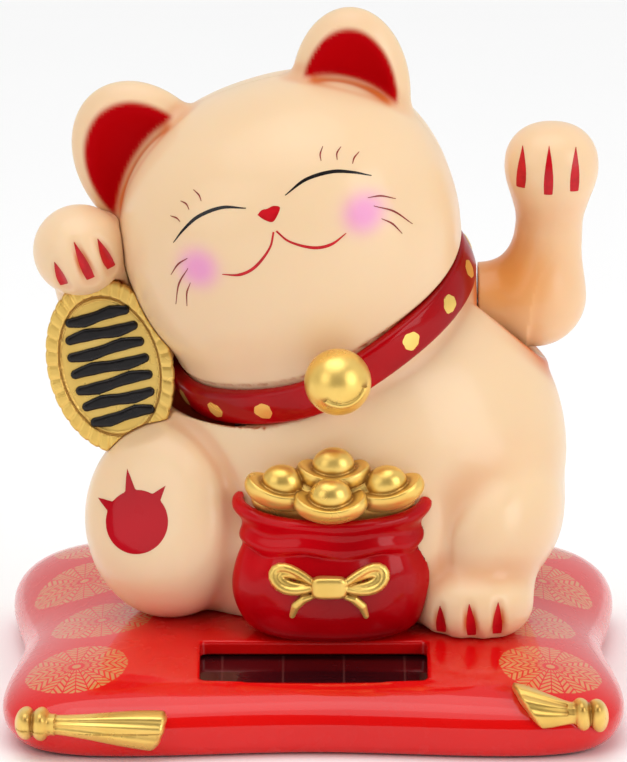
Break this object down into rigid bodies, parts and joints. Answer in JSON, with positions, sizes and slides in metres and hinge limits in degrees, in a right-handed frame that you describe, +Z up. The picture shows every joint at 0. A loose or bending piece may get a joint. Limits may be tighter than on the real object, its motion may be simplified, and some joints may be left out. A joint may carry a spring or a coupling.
{
  "type": "beckoning cat figurine",
  "caption": "Seated beckoning cat on a cushion base with a light-driven swinging arm, holding a coin, with a collar, bell and full money bag.",
  "frame": {"origin": "centre of the underside of the base, on the surface the figurine stands on", "axes": "+X towards the swinging arm, which is on the viewer's right; -Y is the way the cat faces; +Z up"},
  "size_m": [0.0878, 0.0822, 0.0996],
  "materials": {
    "cream_plastic": "glossy moulded cream plastic",
    "red_plastic": "glossy moulded red plastic",
    "red_paint": "glossy deep red paint on plastic",
    "gold_paint": "satin metallic gold paint on plastic",
    "cell_glass": "dark maroon thin-film solar cell behind glass",
    "steel": "plain steel",
    "magnet_metal": "nickel-plated magnet",
    "copper_wire": "enamelled copper winding",
    "white_plastic": "plain white moulding",
    "black_plastic": "plain black moulding",
    "board": "green laminate",
    "can_sleeve": "blue printed sleeve without lettering",
    "red_insulation": "insulated wire",
    "black_insulation": "insulated wire"
  },
  "bodies": {
    "housing": {"base_cushion": "red_plastic", "base_plate": "red_plastic", "base_screw_1": "steel", "base_screw_2": "steel", "base_screw_3": "steel", "base_screw_4": "steel", "solar_cell": "cell_glass", "axle_bracket": "white_plastic", "circuit_board": "board", "coil_bobbin": "white_plastic", "drive_coil": "copper_wire", "capacitor": "can_sleeve", "driver_chip": "black_plastic", "red_lead": "red_insulation", "black_lead": "black_insulation", "head_front": "cream_plastic", "head_back": "cream_plastic", "body_front": "cream_plastic", "body_back": "cream_plastic", "collar": "red_paint", "bell": "gold_paint", "coin": "gold_paint", "coin_arm": "cream_plastic", "money_bag": "red_paint", "ingot_pile": "gold_paint", "bow": "gold_paint", "tassel_front_left": "gold_paint", "tassel_front_right": "gold_paint", "tassel_rear_left": "gold_paint", "tassel_rear_right": "gold_paint"},
    "swing": {"waving_arm": "cream_plastic", "axle": "steel", "axle_retainer": "black_plastic", "pendulum": "black_plastic", "magnet": "magnet_metal"}
  },
  "joints": [
    {"name": "arm_swing", "type": "hinge", "parent": "housing", "child": "swing", "pos_m": [0, 0.007, 0.0545], "axis": [1, 0, 0], "range_deg": [-15, 15]}
  ]
}
